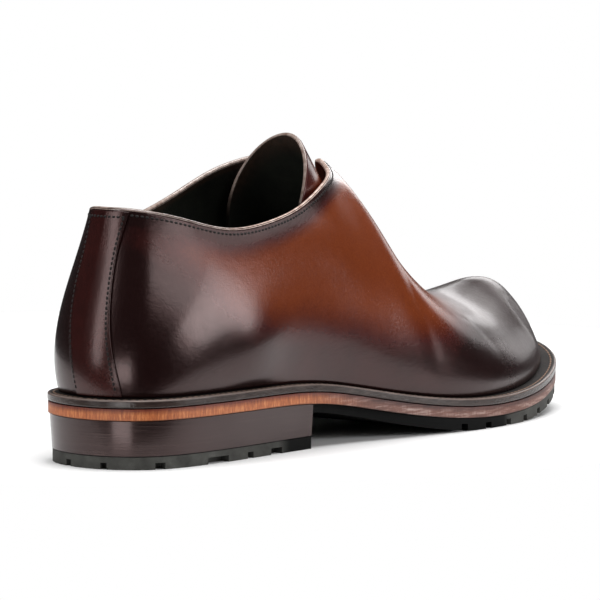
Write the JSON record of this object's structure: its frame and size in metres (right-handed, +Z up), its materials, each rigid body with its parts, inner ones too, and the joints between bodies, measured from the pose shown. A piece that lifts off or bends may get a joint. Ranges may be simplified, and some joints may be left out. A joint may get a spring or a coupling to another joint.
{
  "type": "oxford shoe",
  "caption": "Man's plain oxford dress shoe for the right foot: hollow leather upper with back strip and tongue, welt, leather midsole, stacked heel and notched rubber sole.",
  "frame": {"origin": "on the floor, under the middle of the sole's length and width", "axes": "+X towards the toe, +Y towards the medial side of the foot, +Z up"},
  "size_m": [0.3022, 0.102, 0.1255],
  "materials": {
    "upper_leather": "burnished gloss",
    "welt_leather": "satin",
    "midsole_leather": "satin",
    "heel_leather": "satin",
    "insole_leather": "matte",
    "rubber": "matte"
  },
  "bodies": {
    "root": {"upper": "upper_leather", "back_strip": "upper_leather", "tongue": "upper_leather", "insole": "insole_leather", "welt": "welt_leather", "midsole": "midsole_leather", "heel_rand": "midsole_leather", "outsole": "rubber", "heel_stack": "heel_leather", "heel_top_piece": "rubber"}
  },
  "joints": []
}
